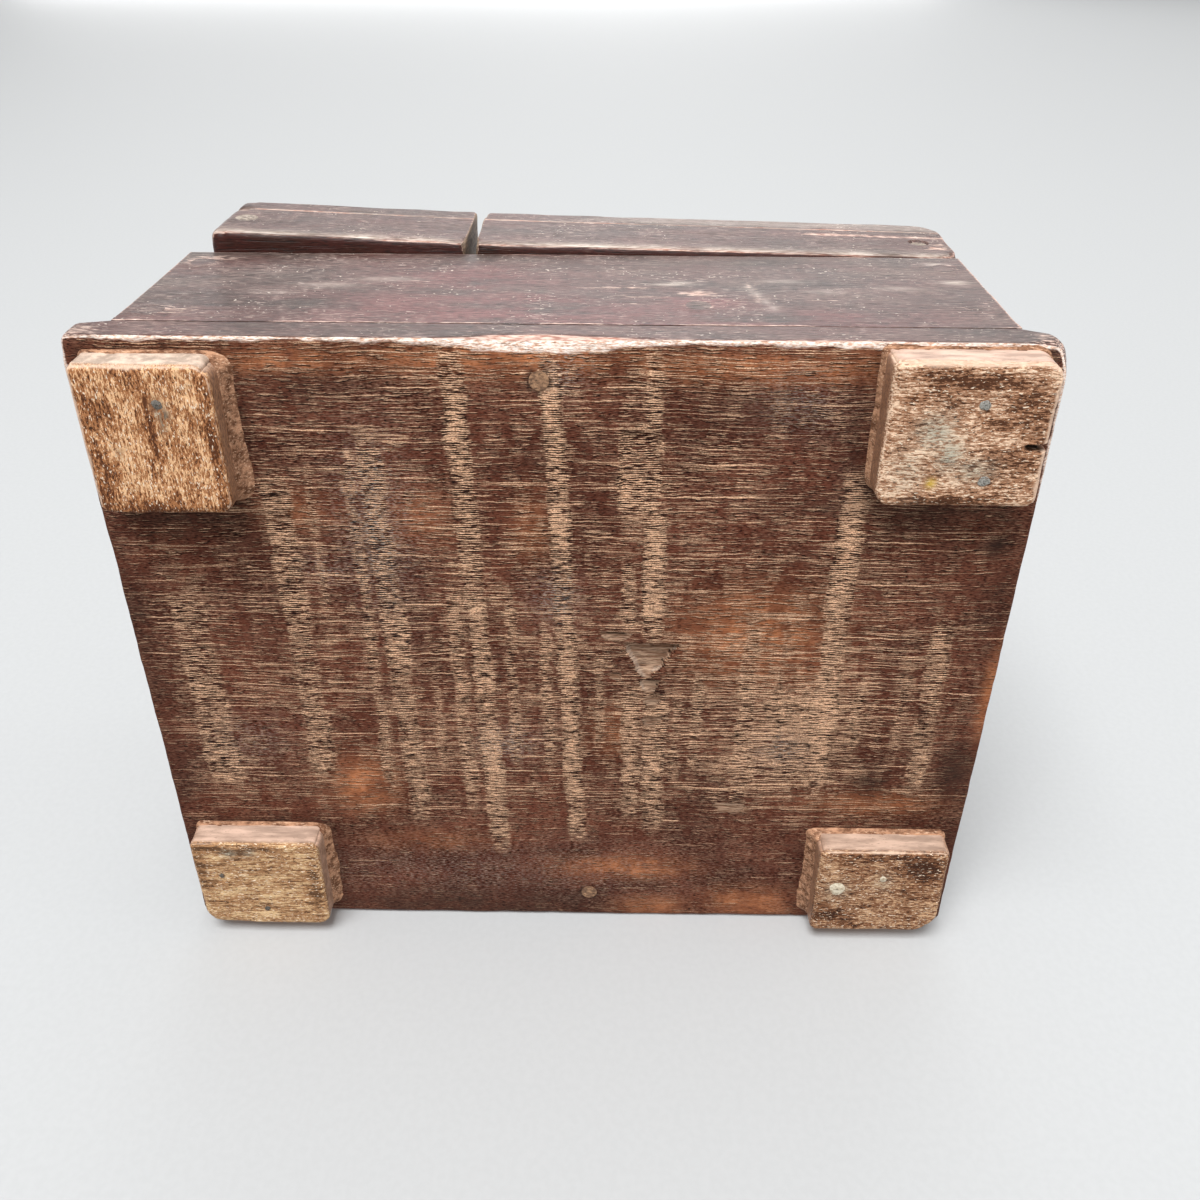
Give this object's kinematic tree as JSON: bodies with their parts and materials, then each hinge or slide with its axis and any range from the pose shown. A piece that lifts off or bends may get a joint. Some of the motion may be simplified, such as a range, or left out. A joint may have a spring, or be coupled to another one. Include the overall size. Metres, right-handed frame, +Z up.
{
  "type": "shaving box",
  "caption": "Pegged wooden shaving box on block feet; its split lid turns on pins at one end, carries a mirror beneath, and the front leaf folds back over the rear leaf.",
  "frame": {"origin": "on the plane the feet stand on, under the middle of the box with its lid on", "axes": "+Z up, +X along the box from the turning end of the lid to its free end, +Y to the right-hand long side seen from the free end"},
  "size_m": [0.22, 0.1834, 0.1113],
  "materials": {
    "board_wood": "worn red-brown stain over sawn wood",
    "lacquered_wood": "worn dark lacquer",
    "foot_wood": "worn bare wood",
    "peg_wood": "worn, stained dark",
    "inner_wood": "dull, unlacquered",
    "nail_iron": "dull grey with rust",
    "hinge_brass": "tarnished",
    "mirror": "silvered, slightly clouded"
  },
  "bodies": {
    "case": {"bottom_board": "board_wood", "right_side": "lacquered_wood", "left_side": "lacquered_wood", "front_end": "lacquered_wood", "rear_end": "lacquered_wood", "divider": "inner_wood", "side_pegs": "peg_wood", "divider_pegs": "peg_wood", "bottom_pegs": "peg_wood", "turning_pins": "peg_wood", "front_right_foot": "foot_wood", "front_left_foot": "foot_wood", "rear_right_foot": "foot_wood", "rear_left_foot": "foot_wood", "foot_nails": "nail_iron"},
    "rear_leaf": {"rear_top": "lacquered_wood", "rear_right_rail": "lacquered_wood", "rear_left_rail": "lacquered_wood", "mirror_glass": "mirror", "front_bead": "inner_wood", "rear_bead": "inner_wood", "right_bead": "inner_wood", "left_bead": "inner_wood", "bead_nails": "nail_iron", "right_hinge_rear_plate": "hinge_brass", "left_hinge_rear_plate": "hinge_brass", "right_hinge_pin": "nail_iron", "left_hinge_pin": "nail_iron", "rear_plate_nails": "nail_iron"},
    "front_leaf": {"front_top": "lacquered_wood", "front_right_rail": "lacquered_wood", "front_left_rail": "lacquered_wood", "front_end_rail": "lacquered_wood", "front_rail_pegs": "peg_wood", "right_hinge_front_plate": "hinge_brass", "left_hinge_front_plate": "hinge_brass", "front_plate_nails": "nail_iron"}
  },
  "joints": [
    {"name": "lid_turn", "type": "hinge", "parent": "case", "child": "rear_leaf", "pos_m": [-0.094, -0.00272, 0.088], "axis": [0, -1, 0], "range_deg": [0, 106]},
    {"name": "leaf_fold", "type": "hinge", "parent": "rear_leaf", "child": "front_leaf", "pos_m": [0.02916, 0.00012, 0.1093], "axis": [0.0218, -0.9998, 0], "range_deg": [0, 180]}
  ]
}
